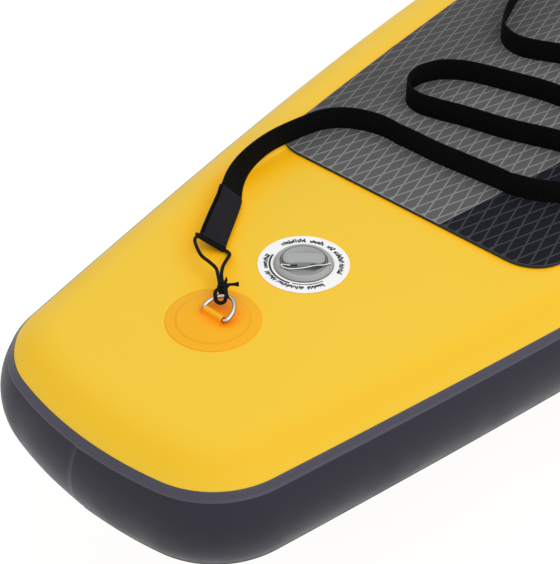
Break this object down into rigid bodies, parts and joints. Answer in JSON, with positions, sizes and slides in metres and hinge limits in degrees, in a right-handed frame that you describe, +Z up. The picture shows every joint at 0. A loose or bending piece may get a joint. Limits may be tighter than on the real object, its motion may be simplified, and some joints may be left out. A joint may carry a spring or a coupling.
{
  "type": "inflatable stand-up paddleboard",
  "caption": "Inflatable stand-up paddleboard with drop-stitch hull, foam deck pads, carry handle, inflation valve, towing rings, tail fin and an ankle leash laid out on deck.",
  "frame": {"origin": "under the middle of the board, level with the fin's tip", "axes": "+Y towards the nose, +X to starboard, +Z up out of the deck"},
  "size_m": [0.7892, 3.1992, 0.4465],
  "materials": {
    "deck_pvc": "satin coated fabric, golden yellow",
    "bottom_pvc": "satin coated fabric, golden yellow",
    "rail_pvc": "satin coated fabric, dark blue-grey",
    "wall_pvc": "coated fabric, dark grey",
    "core_cloth": "woven drop-stitch cloth",
    "pad_grey_foam": "grooved soft foam, mid grey",
    "pad_dark_foam": "grooved soft foam, near black",
    "patch_pvc": "satin coated fabric, orange yellow",
    "stainless_steel": "polished",
    "label_film": "printed white film",
    "valve_plastic": "moulded grey plastic",
    "poppet_plastic": "moulded dark plastic",
    "seal_rubber": "soft black rubber",
    "tether_line": "pale thin line",
    "webbing": "ribbed black webbing",
    "tab_fabric": "smooth black padded fabric",
    "string": "braided black string",
    "fin_box_plastic": "moulded black plastic",
    "fin_plastic": "moulded black plastic"
  },
  "bodies": {
    "board": {"deck_skin": "deck_pvc", "bottom_skin": "bottom_pvc", "side_wall": "wall_pvc", "rail_band": "rail_pvc", "drop_stitch_core": "core_cloth", "deck_pad_grey": "pad_grey_foam", "deck_pad_dark": "pad_dark_foam", "tail_ring_patch": "patch_pvc", "nose_ring_patch": "patch_pvc", "valve_label": "label_film", "valve_body": "valve_plastic", "valve_gasket": "seal_rubber", "valve_nut": "valve_plastic", "valve_spring": "stainless_steel", "valve_tether": "tether_line", "handle_patch_aft": "deck_pvc", "handle_patch_fore": "deck_pvc", "handle_webbing": "webbing", "handle_grip": "tab_fabric", "fin_box_patch": "wall_pvc", "fin_box": "fin_box_plastic", "leash_webbing": "webbing", "leash_tab": "tab_fabric", "leash_string": "string", "cuff_anchor": "tab_fabric", "ankle_cuff": "tab_fabric"},
    "tail_ring": {"tail_ring": "stainless_steel", "leash_knot": "string"},
    "nose_ring": {"nose_ring": "stainless_steel"},
    "cap_seal": {"valve_cap_seal": "seal_rubber"},
    "cap": {"valve_cap": "valve_plastic"},
    "poppet": {"valve_poppet": "poppet_plastic"},
    "fin": {"centre_fin": "fin_plastic", "fin_pin": "stainless_steel", "fin_track_nut": "stainless_steel"},
    "fin_screw": {"fin_screw": "stainless_steel"}
  },
  "joints": [
    {"name": "tail_ring_tilt", "type": "hinge", "parent": "board", "child": "tail_ring", "pos_m": [-0.006, -1.3942, 0.3544], "axis": [1, 0, 0], "range_deg": [-9, 138], "deforming": ["leash_string"]},
    {"name": "nose_ring_tilt", "type": "hinge", "parent": "board", "child": "nose_ring", "pos_m": [0, 1.3618, 0.42887], "axis": [1, 0, 0], "range_deg": [-9, 140]},
    {"name": "cap_lift", "type": "slide", "parent": "board", "child": "cap_seal", "axis": [0, 0, 1], "range_m": [0, 0.012], "deforming": ["valve_tether"]},
    {"name": "cap_turn", "type": "hinge", "parent": "cap_seal", "child": "cap", "pos_m": [0, -1.265, 0.345], "axis": [0, 0, 1], "range_deg": [-45, 45], "deforming": ["valve_tether"]},
    {"name": "poppet_push", "type": "slide", "parent": "board", "child": "poppet", "axis": [0, 0, -1], "range_m": [0, 0.006], "stiffness_N_per_m": 400, "springref_m": -0.003, "deforming": ["valve_spring"]},
    {"name": "fin_slide", "type": "slide", "parent": "board", "child": "fin", "axis": [0, 1, 0], "range_m": [-0.025, 0.025]},
    {"name": "fin_screw_turn", "type": "hinge", "parent": "fin", "child": "fin_screw", "pos_m": [0, -1.1265, 0.182], "axis": [0, 0, 1], "continuous": true}
  ]
}
